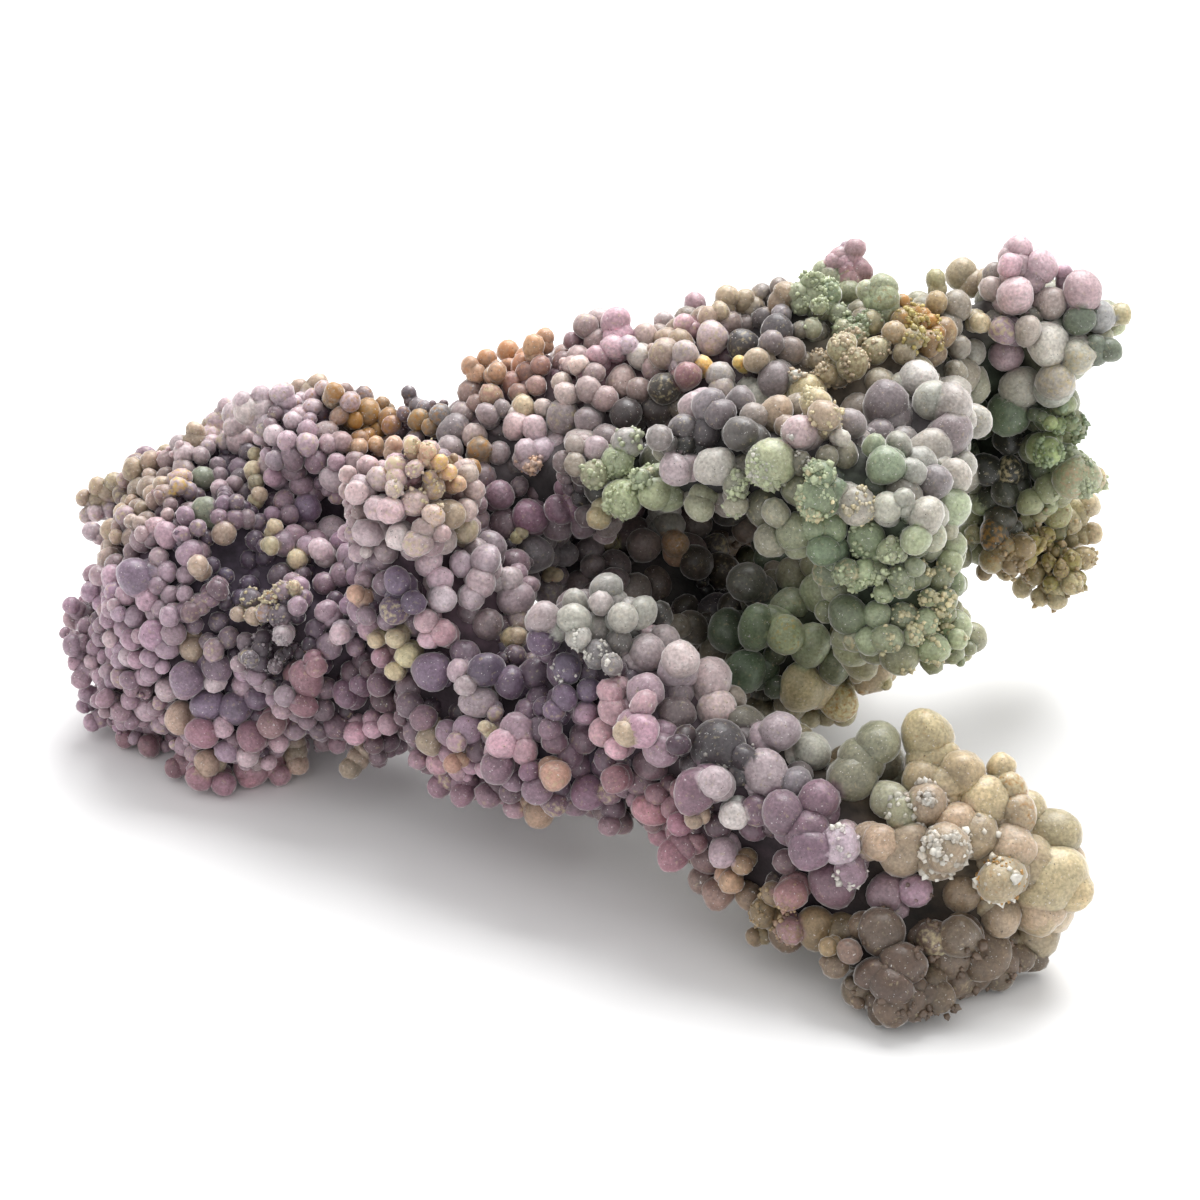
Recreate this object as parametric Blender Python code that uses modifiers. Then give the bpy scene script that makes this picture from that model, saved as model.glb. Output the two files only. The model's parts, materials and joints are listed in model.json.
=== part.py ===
"""Grape agate: one botryoidal mass of chalcedony that forks at one end.

Metres, +Z up. +X runs along the specimen from the rounded head to the fork, +Y runs from the
lower arm towards the back lobe. The origin is on the resting plane, under the middle of the mass.

The mass is designed as lobes, the swellings that the crystals grew over. Each lobe carries
botryoidal lumps, placed by a rule, and all of them are fused into one solid. The specimen rests
on three broken flats: under the head, under the tip of the lower arm and under a heel at the back.
"""

import math
import random

import bmesh
import bpy
from mathutils import Matrix, Vector

NAME = "grape_agate"

# Driving dimension, in metres. Every other length is in hundredths of it.
OVERALL_LENGTH = 0.100
UNIT = OVERALL_LENGTH / 100.0

# Lumps: their spacing and how far they stand out of a lobe, then shares of the spacing
LUMP_SPACING = 5.6
LUMP_REACH = 1.9
SMALLEST_LUMP = 0.52
LARGEST_LUMP = 0.70
CLOSEST_LUMPS = 0.66

# A lump is left out when it lies deeper in another lobe than this share of its radius
MOST_BURIED = 0.45
SEED = 7

# Fusing: the grid that joins the balls, and the budget of flat facets
BALL_SUBDIVISIONS = 3
FUSING_VOXEL = 0.55
TRIANGLES = 9000

# The slab below the resting plane, which breaks the flats that the specimen stands on
SLAB_WIDTH = 200.0
SLAB_DEPTH = 12.0

# Lobes and knobs: x, y, z and radius, in the order in which the mass runs
HEAD = {
    "head": (-32.6, 16.3, 12.2, 13.2),
    "head_shoulder": (-39.6, 22.3, 17.4, 5.8),
    "head_crown": (-33.2, 21.3, 20.8, 6.0),
    "head_end": (-42.2, 16.3, 9.0, 5.6),
    "head_cheek": (-40.8, 12.9, 5.0, 5.8),
    "head_chin": (-32.2, 7.3, 4.4, 6.1),
    "head_throat": (-17.9, 3.3, 10.0, 5.6),
    "crest_left": (-24.2, 19.3, 25.7, 6.6),
    "crest_right": (-17.4, 18.3, 24.9, 6.0),
    "nose": (-15.6, 1.3, 30.0, 5.4),
}
BODY = {
    "belly_left": (-23.6, 8.3, 12.6, 9.6),
    "belly_middle": (-13.2, 2.3, 19.3, 8.2),
    "belly_right": (-9.5, -3.7, 12.8, 7.0),
    "belly_front": (-2.5, -8.7, 12.4, 6.8),
    "neck": (-9.9, 14.3, 23.4, 9.0),
    "hollow_floor": (4.7, 16.3, 12.5, 8.4),
    "web": (19.1, 6.3, 14.0, 7.8),
    "heel_left": (9.0, 25.3, 7.5, 7.0),
    "heel_right": (19.0, 24.3, 5.0, 7.0),
    "back_wall_1": (-3.0, 22.3, 20.0, 7.0),
    "back_wall_2": (6.0, 25.3, 22.0, 7.0),
    "back_wall_3": (15.0, 25.3, 21.0, 7.5),
    "back_wall_4": (24.0, 21.3, 20.0, 7.0),
}
UPPER_ARM = {
    "ridge_1": (-5.4, 18.3, 30.1, 6.4),
    "ridge_2": (1.9, 18.3, 31.8, 7.3),
    "ridge_3": (10.1, 18.3, 32.4, 8.2),
    "ridge_4": (18.7, 18.3, 33.2, 8.9),
    "ridge_5": (24.9, 17.3, 33.2, 8.6),
    "brow_1": (1.9, 6.3, 30.2, 5.0),
    "brow_2": (10.9, 1.3, 34.6, 5.4),
    "brow_3": (18.4, -1.7, 35.0, 6.0),
    "brow_4": (24.9, -2.7, 31.4, 7.0),
    "upper_end": (26.4, -3.7, 23.3, 6.4),
    "upper_shoulder": (29.0, 6.3, 34.1, 5.0),
}
BACK_LOBE = {
    "bridge": (31.2, 23.3, 34.6, 5.5),
    "horn_left": (38.6, 25.3, 37.6, 4.6),
    "horn_right": (43.4, 25.3, 36.0, 4.5),
    "curtain_top": (41.7, 23.3, 29.5, 4.2),
    "curtain_middle": (42.7, 23.3, 22.2, 4.0),
    "curtain_foot": (43.5, 25.3, 12.7, 4.4),
    "curtain_toe": (38.9, 23.3, 14.4, 3.6),
    "curtain_back_1": (35.0, 26.3, 28.0, 5.0),
    "curtain_back_2": (35.0, 26.3, 20.5, 4.6),
}
LOWER_ARM = {
    "spine_1": (1.0, -7.7, 20.4, 6.0),
    "spine_2": (6.1, -12.7, 17.0, 6.2),
    "spine_3": (12.8, -16.7, 13.0, 6.8),
    "spine_4": (20.3, -20.3, 11.0, 6.9),
    "spine_5": (27.3, -21.5, 10.8, 6.6),
    "spine_6": (32.4, -22.7, 9.8, 5.8),
    "keel_1": (5.0, -12.7, 10.8, 4.8),
    "keel_2": (12.0, -17.7, 9.0, 5.0),
    "lower_end": (36.2, -22.9, 6.8, 4.4),
    "tip": (24.3, -28.7, 3.8, 4.2),
    "tip_right": (30.8, -25.0, 3.4, 4.8),
    "tip_left": (18.0, -22.3, 4.6, 4.4),
}
KNOBS = {
    "pink_knob_base": (23.6, 25.3, 41.0, 1.9),
    "pink_knob_top": (23.2, 25.9, 43.0, 1.4),
    "horn_knob": (38.2, 25.9, 42.6, 1.9),
    "horn_end_knob": (47.8, 24.8, 37.4, 1.8),
    "toe_knob": (33.6, -3.7, 19.6, 1.9),
}


def clear_scene():
    for obj in list(bpy.data.objects):
        bpy.data.objects.remove(obj)


def new_collection(name, hidden):
    collection = bpy.data.collections.new(name)
    collection.hide_render = hidden
    bpy.context.scene.collection.children.link(collection)
    return collection


def spiral_directions(count):
    """Directions spread evenly over a sphere, from its top to its bottom."""
    golden_angle = math.pi * (3.0 - math.sqrt(5.0))
    for index in range(count):
        height = 1.0 - (2.0 * index + 1.0) / count
        ring = math.sqrt(1.0 - height * height)
        angle = index * golden_angle
        yield Vector((ring * math.cos(angle), ring * math.sin(angle), height))


def lumps_over(lobes):
    """The lumps that stand out from the lobes, as (centre, radius) pairs."""
    rng = random.Random(SEED)
    spheres = {name: (Vector(lobe[:3]), lobe[3]) for name, lobe in lobes.items()}
    lumps = []
    for name, (centre, radius) in spheres.items():
        others = [sphere for other, sphere in spheres.items() if other != name]
        area = 4.0 * math.pi * (radius + LUMP_REACH) ** 2
        for direction in spiral_directions(round(area / LUMP_SPACING**2)):
            size = LUMP_SPACING * rng.uniform(SMALLEST_LUMP, LARGEST_LUMP)
            place = centre + direction * (radius + LUMP_REACH - size)
            buried = any((place - c).length < r - MOST_BURIED * size for c, r in others)
            crowded = any((place - c).length < CLOSEST_LUMPS * LUMP_SPACING for c, _ in lumps)
            if not buried and not crowded:
                lumps.append((place, size))
    return lumps


def ball_cluster(spheres):
    """One mesh of overlapping balls, each an icosphere, in metres."""
    ball = bpy.data.meshes.new("ball")
    shape = bmesh.new()
    bmesh.ops.create_icosphere(shape, subdivisions=BALL_SUBDIVISIONS, radius=UNIT)
    shape.to_mesh(ball)
    shape.free()
    cluster = bmesh.new()
    for centre, radius in spheres:
        copy = ball.copy()
        copy.transform(Matrix.Translation(centre * UNIT) @ Matrix.Scale(radius, 4))
        cluster.from_mesh(copy)
        bpy.data.meshes.remove(copy)
    mesh = bpy.data.meshes.new(NAME)
    cluster.to_mesh(mesh)
    cluster.free()
    bpy.data.meshes.remove(ball)
    return mesh


def resting_slab(collection):
    """A slab whose top face is the resting plane."""
    middle = -0.5 * SLAB_DEPTH * UNIT
    bpy.ops.mesh.primitive_cube_add(size=UNIT, location=(0.0, 0.0, middle))
    slab = bpy.context.object
    slab.name = "resting_slab"
    slab.scale = (SLAB_WIDTH, SLAB_WIDTH, SLAB_DEPTH)
    slab.display_type = "WIRE"
    slab.hide_render = True
    for other in list(slab.users_collection):
        other.objects.unlink(slab)
    collection.objects.link(slab)
    return slab


def agate_material():
    material = bpy.data.materials.new("lilac_chalcedony")
    material.use_nodes = True
    shader = material.node_tree.nodes["Principled BSDF"]
    shader.inputs["Base Color"].default_value = (0.42, 0.33, 0.42, 1.0)
    shader.inputs["Roughness"].default_value = 0.5
    shader.inputs["Metallic"].default_value = 0.0
    return material


def apply_modifiers(obj):
    graph = bpy.context.evaluated_depsgraph_get()
    mesh = bpy.data.meshes.new_from_object(obj.evaluated_get(graph))
    obj.modifiers.clear()
    obj.data = mesh


def fuse(obj):
    """Makes the overlapping balls one skin and brings it down to the triangle budget."""
    remesh = obj.modifiers.new("fuse", "REMESH")
    remesh.mode = "VOXEL"
    remesh.voxel_size = FUSING_VOXEL * UNIT
    apply_modifiers(obj)
    obj.data.calc_loop_triangles()
    facet = obj.modifiers.new("facet", "DECIMATE")
    facet.ratio = TRIANGLES / len(obj.data.loop_triangles)
    apply_modifiers(obj)


def cut_flats(obj, slab):
    flats = obj.modifiers.new("flats", "BOOLEAN")
    flats.operation = "DIFFERENCE"
    flats.object = slab
    apply_modifiers(obj)


def build():
    clear_scene()
    parts = new_collection("grape_agate_parts", hidden=False)
    cutters = new_collection("cutters", hidden=True)
    lobes = {**HEAD, **BODY, **UPPER_ARM, **BACK_LOBE, **LOWER_ARM}
    spheres = [(Vector(lobe[:3]), lobe[3]) for lobe in {**lobes, **KNOBS}.values()]
    agate = bpy.data.objects.new(NAME, ball_cluster(spheres + lumps_over(lobes)))
    parts.objects.link(agate)
    fuse(agate)
    cut_flats(agate, resting_slab(cutters))
    agate.data.materials.append(agate_material())


build()
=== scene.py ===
"""Grape agate: the looks.

Thousands of small spheres of frosted chalcedony grow from a dark ground mass to the surface of the
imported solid. Lengths are in millimetres until a mesh is made; the meshes are in metres.
"""

import json
import math
import random

import bmesh
import bpy
import numpy as np
from mathutils import Matrix, Vector, noise
from mathutils.bvhtree import BVHTree
from mathutils.kdtree import KDTree

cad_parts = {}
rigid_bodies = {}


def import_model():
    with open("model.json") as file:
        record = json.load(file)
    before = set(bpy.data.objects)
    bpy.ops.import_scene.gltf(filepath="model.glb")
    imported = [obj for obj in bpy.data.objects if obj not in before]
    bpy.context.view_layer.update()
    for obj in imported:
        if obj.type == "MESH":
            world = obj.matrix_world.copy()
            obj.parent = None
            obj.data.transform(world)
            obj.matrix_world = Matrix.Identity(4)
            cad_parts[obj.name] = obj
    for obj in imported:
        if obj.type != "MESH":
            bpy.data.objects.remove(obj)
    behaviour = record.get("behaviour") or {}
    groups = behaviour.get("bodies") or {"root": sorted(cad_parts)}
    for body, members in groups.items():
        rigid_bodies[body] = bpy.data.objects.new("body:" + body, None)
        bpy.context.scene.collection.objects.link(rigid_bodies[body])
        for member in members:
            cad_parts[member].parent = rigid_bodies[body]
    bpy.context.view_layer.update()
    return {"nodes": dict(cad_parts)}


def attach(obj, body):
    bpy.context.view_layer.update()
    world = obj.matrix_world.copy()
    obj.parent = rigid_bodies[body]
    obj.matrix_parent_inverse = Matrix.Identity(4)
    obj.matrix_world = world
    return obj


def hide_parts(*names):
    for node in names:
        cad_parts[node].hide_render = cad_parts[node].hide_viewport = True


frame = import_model()

MM = 0.001
NODE = "grape_agate"
SEED = 11

# The photograph's camera
PHOTO_SIDE = 1200.0
FOCAL_PIXELS = 3344.0
SENSOR_WIDTH = 36.0
CAMERA_TARGET = Vector((1.0, 6.3, 18.0))
CAMERA_DISTANCE = 300.0
CAMERA_ELEVATION = math.radians(30.0)

# Studio, in metres: strength of the white room, a large soft lamp above and behind, the floor
WORLD_STRENGTH = 0.86
KEY_PLACE = (0.08, 0.28, 0.45)
KEY_SIZE = 0.40
KEY_POWER = 4.0
FLOOR_SIDE = 4.0

# Layers of growth: tries for each mm2 of surface, recess below the surface as a share of the
# grape's radius, closest approach as a share of two radii, share of grapes that start a chain,
# largest usual radius
OUTER_LAYER = {"tries": 3.2, "recess": (-0.12, 0.32), "gap": 0.74, "chain": 0.60, "largest": 3.0}
MIDDLE_LAYER = {"tries": 1.6, "recess": (0.45, 1.10), "gap": 0.74, "chain": 0.10, "largest": 1.5}
INNER_LAYER = {"tries": 0.8, "recess": (1.00, 1.90), "gap": 0.78, "chain": 0.0, "largest": 1.3}

# Sizes of grapes beside their zone's (least, most, usual), the least radius, and how deep a
# centre lies at least, as a share of the radius
SIZE_SPREAD = (0.66, 1.30, 1.0)
LEAST_RADIUS = 0.55
LEAST_COVER = 0.72

# Broad unevenness of the growth: a noise, and how its values turn into a depth
DIP_PERIOD = 5.0
DIP_DEPTH = 0.8
DIP_MIDDLE = 0.35
DIP_SLOPE = 1.6

# Chains of half merged grapes: how many follow the first, then shares of a radius
CHAIN_LENGTHS = (1, 1, 2, 2, 3, 4)
CHAIN_BEND = 0.5
CHAIN_DIVE = 0.4
CHAIN_SIZES = (0.86, 1.08)
CHAIN_STEPS = (0.52, 0.74)
CHAIN_COVER = 0.7
CHAIN_SLACK = 0.06

# Stalks, which carry a grape down to the ground mass, in shares of its radius
MOST_STALK_GRAPES = 3
STALK_ROOT = 0.3
STALK_STEP = 1.2
STALK_SIZES = (0.75, 0.92)
STALK_REACH = 0.8
STALK_GAP = 0.5

# Nubs, the tiny buds on a grape that lies at most so many mm deep, in shares of its radius
NUB_SHARE = 0.06
NUB_COUNTS = (1, 1, 2, 3)
NUB_DEEPEST = 0.5
NUB_LEAN = 0.6
NUB_SIZES = (0.28, 0.5)
NUB_OUT = 1.06
NUB_SUNK = 0.35

# Landmarks: how far outside the surface one may stay, how far it is drawn in from there, and
# the step to the grape that carries it
LANDMARK_OUT = 1.5
LANDMARK_DRAWN = 0.6
LANDMARK_STEP = 0.9

# Search along the ray of a pixel, in mm
RAY_STEPS = 300
RAY_STEP = 0.2
RAY_REACH = 50

# Ground mass, in mm: depth below the surface, voxels before and after it is sunk, and the least
# hollow that is carved into it
GROUND_DEPTH = 2.3
GROUND_VOXELS = (0.8, 1.1)
LEAST_CARVED = 0.3

# Surface colours are this share of the colours seen in the photograph, which its light lifts,
# and the colours below the tips, of the ground mass and of a grape's sides are darker still,
# which is painted shade of the deeper grapes, of the gaps down to the ground mass (dark in its
# own colour too) and of the creases between grapes
SURFACE_SHARE = 0.79
DEEP_PAINTED_SHADE = 0.60
GROUND_SHARE = 0.30
SIDE_SHADE = 0.70

# Tips: their shade, and the depth in radii where only the colour below them is left. Then a
# landmark's share of its own colour, the random spreads, and the range of surface colours
TIP_SHADE = 1.04
TIP_DEPTH = 1.4
TINT_SHARE = 0.8
BRIGHTNESS_SPREAD = 0.11
HUE_SPREAD = 0.025
LIGHT_RANGE = (0.004, 0.9)

# How shade and dust follow the way a point faces: at the side, and the change towards the tip
SHADE_RAMP = (0.5, 0.7)
DUST_RAMP = (0.55, 0.75)

# Zones fade into each other: a softness at their middle, and a power of the distance
ZONE_SOFTNESS = 0.05
ZONE_POWER = 4

# Dust: share of the grapes that hold some away from the stains, and its cover there; then how
# far a stain reaches beside its width, how uneven it is, and the depth in mm where it ends
STRAY_SHARE = 0.10
STRAY_COVER = (0.1, 0.45)
STAIN_REACH = 1.6
STAIN_SPREAD = (0.5, 1.1)
STAIN_DEPTH = 1.6

# Shapes of grapes: the radii for the finest and the plainest ball, the depth for the plainest,
# the room between balls of one mesh, waves on a ball, stretch, lumps by radius, and grain
FINE_RADIUS = 2.1
PLAIN_RADIUS = 1.25
PLAIN_DEPTH = 0.7
GROUP_GAP = 1.15
WAVES = 4
WAVE_RATE = 1.9
STRETCH = (-0.16, 0.24)
BROKEN_LUMPS = 0.085
LEAST_LUMPS = 0.018
LUMPS_PER_MM = 0.013
MOST_LUMPY_RADIUS = 2.6
GRAIN = 0.010
SEAM_CANDIDATES = 5

# One crystal of a crust, in shares of its size: rings as (height, width), tip and root
CRYSTAL_SIDES = 5
CRYSTAL_RINGS = ((-0.6, 0.8), (0.35, 1.0))
CRYSTAL_WIDTHS = (0.75, 1.1)
CRYSTAL_TIPS = (0.45, 0.8)
CRYSTAL_ROOT = -0.4

# How crystals differ in size, tone and share of their own colour, and gather in patches
CRYSTAL_SIZES = (0.5, 1.2)
CRYSTAL_TONES = (0.75, 1.25)
CRYSTAL_SHARES = (0.35, 1.0)
DRUSE_PATCH = 1.3
DRUSE_EDGE = -0.16
DRUSE_GROWTH = 1.5
DRUSE_REACH = 1.3
DRUSE_DEEPEST = 1.2
DRUSE_LEAN = 0.35
DRUSE_OUT = 0.8
DRUSE_SUNK = 0.97
FEWEST_CARRIERS = 4

# Camera geometry, shared by the camera and by what is placed by a pixel of the photograph
FORWARD = Vector((0.0, math.cos(CAMERA_ELEVATION), -math.sin(CAMERA_ELEVATION)))
RIGHT = Vector((1.0, 0.0, 0.0))
UP = RIGHT.cross(FORWARD)
CAMERA_PLACE = CAMERA_TARGET - FORWARD * CAMERA_DISTANCE


def pixel_ray(u, v):
    """Direction from the camera through a pixel of the photograph."""
    middle = 0.5 * PHOTO_SIDE
    return (FORWARD * FOCAL_PIXELS + RIGHT * (u - middle) - UP * (v - middle)).normalized()


def pixel_scale(place):
    """Pixels of the photograph to a millimetre at a place."""
    return FOCAL_PIXELS / (place - CAMERA_PLACE).dot(FORWARD)


class Skin:
    """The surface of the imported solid, in millimetres."""

    def __init__(self, node):
        mesh = node.data
        mesh.calc_loop_triangles()
        points = [vertex.co / MM for vertex in mesh.vertices]
        faces = [tuple(face.vertices) for face in mesh.loop_triangles]
        self.tree = BVHTree.FromPolygons(points, faces)
        corners = np.array([[points[i] for i in face] for face in faces])
        sides = np.cross(corners[:, 1] - corners[:, 0], corners[:, 2] - corners[:, 0])
        doubled = np.linalg.norm(sides, axis=1)
        self.corners = corners
        self.area = 0.5 * doubled.sum()
        self.reach = np.cumsum(doubled) / doubled.sum()
        self.normals = sides / np.maximum(doubled, 1e-12)[:, None]

    def normal(self, place):
        """The way out of the solid at the surface nearest to a place."""
        return self.tree.find_nearest(place)[1]

    def depth(self, place):
        """How far below the surface a place lies; below zero outside."""
        near, normal, _, distance = self.tree.find_nearest(place)
        return distance if (near - place).dot(normal) > 0.0 else -distance

    def sample(self, count, dice):
        """Random places on the surface, with the normals there."""
        picks = np.searchsorted(self.reach, dice.random(count))
        a, b = dice.random(count), dice.random(count)
        over = a + b > 1.0
        a[over], b[over] = 1.0 - a[over], 1.0 - b[over]
        corner = self.corners[picks]
        places = corner[:, 0] + a[:, None] * (corner[:, 1] - corner[:, 0])
        places = places + b[:, None] * (corner[:, 2] - corner[:, 0])
        return places, self.normals[picks]


class Bunch:
    """The grapes grown so far, found quickly by their place."""

    CELL = 4.8

    def __init__(self):
        self.centres = []
        self.radii = []
        self.depths = []
        self.tints = []
        self.kinds = []
        self.cells = {}

    def cell(self, place):
        return tuple(int(math.floor(value / self.CELL)) for value in place)

    def add(self, place, radius, depth, kind, tint=None):
        self.cells.setdefault(self.cell(place), []).append(len(self.centres))
        self.centres.append(Vector(place))
        self.radii.append(radius)
        self.depths.append(depth)
        self.tints.append(tint)
        self.kinds.append(kind)
        return len(self.centres) - 1

    def near(self, place):
        x, y, z = self.cell(place)
        for i in (x - 1, x, x + 1):
            for j in (y - 1, y, y + 1):
                for k in (z - 1, z, z + 1):
                    yield from self.cells.get((i, j, k), ())

    def closest(self, place, radius, ignoring=()):
        """Distance to the nearest grape as a share of the two radii, or infinity."""
        best = math.inf
        for index in self.near(place):
            if index in ignoring:
                continue
            share = (self.centres[index] - place).length / (self.radii[index] + radius)
            if share < best:
                best = share
        return best


def random_vector(rng, reach):
    return Vector([rng.uniform(-reach, reach) for _ in range(3)])


def read_hollows(skin):
    """The named hollows as arrays: places, widths in mm and depths in mm."""
    rows = []
    for u, v, reach, depth in HOLLOWS.values():
        place = find_by_pixel(skin, u, v)
        rows.append((*place, reach / pixel_scale(place), depth))
    rows = np.array(rows)
    return rows[:, :3], rows[:, 3], rows[:, 4]


def hollow_depths(hollows, places):
    """How far the growth stands back at each place."""
    centres, widths, depths = hollows
    away = np.linalg.norm(np.asarray(places)[:, None] - centres[None], axis=2) / widths
    return (depths * np.exp(-(away**2))).max(axis=1)


def dip_at(place):
    """Broad unevenness of the growth, 0 on its crests and 1 in its dips."""
    value = noise.noise(Vector(place) / DIP_PERIOD)
    return min(max(DIP_MIDDLE - DIP_SLOPE * value, 0.0), 1.0)


def grow_chain(bunch, skin, rng, first, normal, gap):
    """A few more grapes beside the first, each half merged with the one before."""
    place, radius = bunch.centres[first], bunch.radii[first]
    sideways = random_vector(rng, 1.0)
    heading = (sideways - normal * sideways.dot(normal)).normalized()
    chain = [first]
    for _ in range(rng.choice(CHAIN_LENGTHS)):
        bend = random_vector(rng, CHAIN_BEND) - normal * rng.uniform(0.0, CHAIN_DIVE)
        heading = (heading + bend).normalized()
        size = radius * rng.uniform(*CHAIN_SIZES)
        place = place + heading * (radius + size) * rng.uniform(*CHAIN_STEPS)
        depth = skin.depth(place)
        if depth < size * CHAIN_COVER or depth > GROUND_DEPTH + size or place.z < size:
            return
        if bunch.closest(place, size, chain) < gap - CHAIN_SLACK:
            return
        chain.append(bunch.add(place, size, depth - size, "grape"))
        radius = size


def grow_layer(bunch, skin, zones, hollows, rng, dice, layer):
    """Grapes at random places below the surface, where there is room for them."""
    spots, normals = skin.sample(int(skin.area * layer["tries"]), dice)
    sizes = blend_zones(zones, spots) @ zones["radii"]
    dips = hollow_depths(hollows, spots)
    for spot, outward, size, dip in zip(spots, normals, sizes, dips):
        normal = Vector(outward)
        radius = min(size, layer["largest"]) * rng.triangular(*SIZE_SPREAD)
        recess = radius * rng.uniform(*layer["recess"]) + DIP_DEPTH * dip_at(spot) + dip
        place = Vector(spot) - normal * (radius + recess)
        depth = skin.depth(place)
        radius = min(radius, depth / LEAST_COVER)
        if radius < LEAST_RADIUS or place.z < radius:
            continue
        if bunch.closest(place, radius) < layer["gap"]:
            continue
        first = bunch.add(place, radius, depth - radius, "grape")
        if rng.random() < layer["chain"]:
            grow_chain(bunch, skin, rng, first, normal, layer["gap"])


def grow_stalks(bunch, skin, rng):
    """Carries each grape that touches nothing below it down to the ground mass."""
    for index in range(len(bunch.centres)):
        place, radius = bunch.centres[index], bunch.radii[index]
        inward = -skin.normal(place)
        for _ in range(MOST_STALK_GRAPES):
            if skin.depth(place) > GROUND_DEPTH + STALK_ROOT * radius:
                break
            place = place + inward * radius * STALK_STEP
            room = bunch.closest(place, radius * STALK_REACH, (index,))
            if place.z < radius or room < STALK_GAP:
                break
            depth = skin.depth(place)
            bunch.add(place, radius * rng.uniform(*STALK_SIZES), depth - radius, "stalk")


def grow_nubs(bunch, skin, rng):
    """Tiny buds on some of the outer grapes."""
    for index in range(len(bunch.centres)):
        if bunch.depths[index] > NUB_DEEPEST or bunch.kinds[index] != "grape":
            continue
        if rng.random() > NUB_SHARE:
            continue
        centre, radius = bunch.centres[index], bunch.radii[index]
        normal = skin.normal(centre)
        for _ in range(rng.choice(NUB_COUNTS)):
            heading = random_vector(rng, 1.0) + normal * NUB_LEAN
            size = radius * rng.uniform(*NUB_SIZES)
            place = centre + heading.normalized() * (radius * NUB_OUT - NUB_SUNK * size)
            if place.z > size:
                bunch.add(place, size, bunch.depths[index], "nub")


def place_on_ray(skin, u, v, depth_wanted):
    """Where the ray of a pixel first gets this deep, or where it gets deepest."""
    ray = pixel_ray(u, v)
    best_depth, best_place = -math.inf, None
    for step in range(-RAY_STEPS, RAY_STEPS):
        place = CAMERA_PLACE + ray * (CAMERA_DISTANCE + RAY_STEP * step)
        depth = skin.depth(place)
        if depth > best_depth:
            best_depth, best_place = depth, place
        if depth >= depth_wanted:
            break
    return best_place, best_depth


def grow_landmarks(bunch, skin):
    """The grapes that can be told apart in the photograph, and what carries the outermost."""
    for tint, grapes in LANDMARKS.values():
        for u, v, across in grapes:
            radius = 0.5 * across
            place, depth = place_on_ray(skin, u, v, LEAST_COVER * radius)
            if depth < -LANDMARK_OUT * radius:
                place = place + (skin.tree.find_nearest(place)[0] - place) * LANDMARK_DRAWN
                depth = skin.depth(place)
            place.z = max(place.z, radius)
            bunch.add(place, radius, depth - radius, "landmark", tint)
            for _ in range(MOST_STALK_GRAPES):
                if depth > radius:
                    break
                place = place - skin.normal(place) * radius * LANDMARK_STEP
                depth = skin.depth(place)
                if place.z > radius:
                    bunch.add(place, radius, depth - radius, "stalk", tint)


# Colours as they show in the photograph, 0 to 255

PALE_LILAC = (210, 191, 196)
PALE_ROSE = (222, 202, 196)
PALE_PINK = (214, 186, 192)
BRIGHT_LILAC = (200, 172, 186)
LILAC = (178, 151, 164)
MAUVE = (142, 113, 128)
VIOLET = (122, 105, 128)
PURPLE = (98, 78, 100)
PLUM = (80, 60, 72)
WINE = (112, 84, 94)
PINK = (210, 172, 184)
ROSE = (172, 128, 138)
SILVER = (196, 192, 184)
GREY_LILAC = (148, 138, 142)
SLATE = (84, 80, 82)
# Painted shade: charcoal for the grapes in the shaded groove and under the arm, and below the tips in the
# arm's dark gaps
SHADE_CHARCOAL = (54, 49, 50)
PALE_GREEN = (184, 192, 156)
JADE = (132, 148, 118)
TEAL = (100, 118, 94)
MOSS = (86, 88, 52)
LICHEN = (166, 164, 138)
LEAF = (158, 172, 118)
OLIVE = (182, 166, 98)
CREAM = (214, 200, 160)
BEIGE = (190, 170, 144)
HONEY = (204, 186, 150)
SAND = (160, 138, 104)
OCHRE = (182, 134, 62)
YELLOW = (226, 194, 104)
PEACH = (214, 176, 146)
ORANGE = (206, 152, 104)
BROWN = (104, 86, 72)
UMBER = (56, 46, 38)
# Painted shadow: near black for the grapes in the shaded groove, hollows, recess, dark spine and crack
SHADOW_BLACK = (22, 20, 20)
WHITE = (222, 218, 208)
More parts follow.
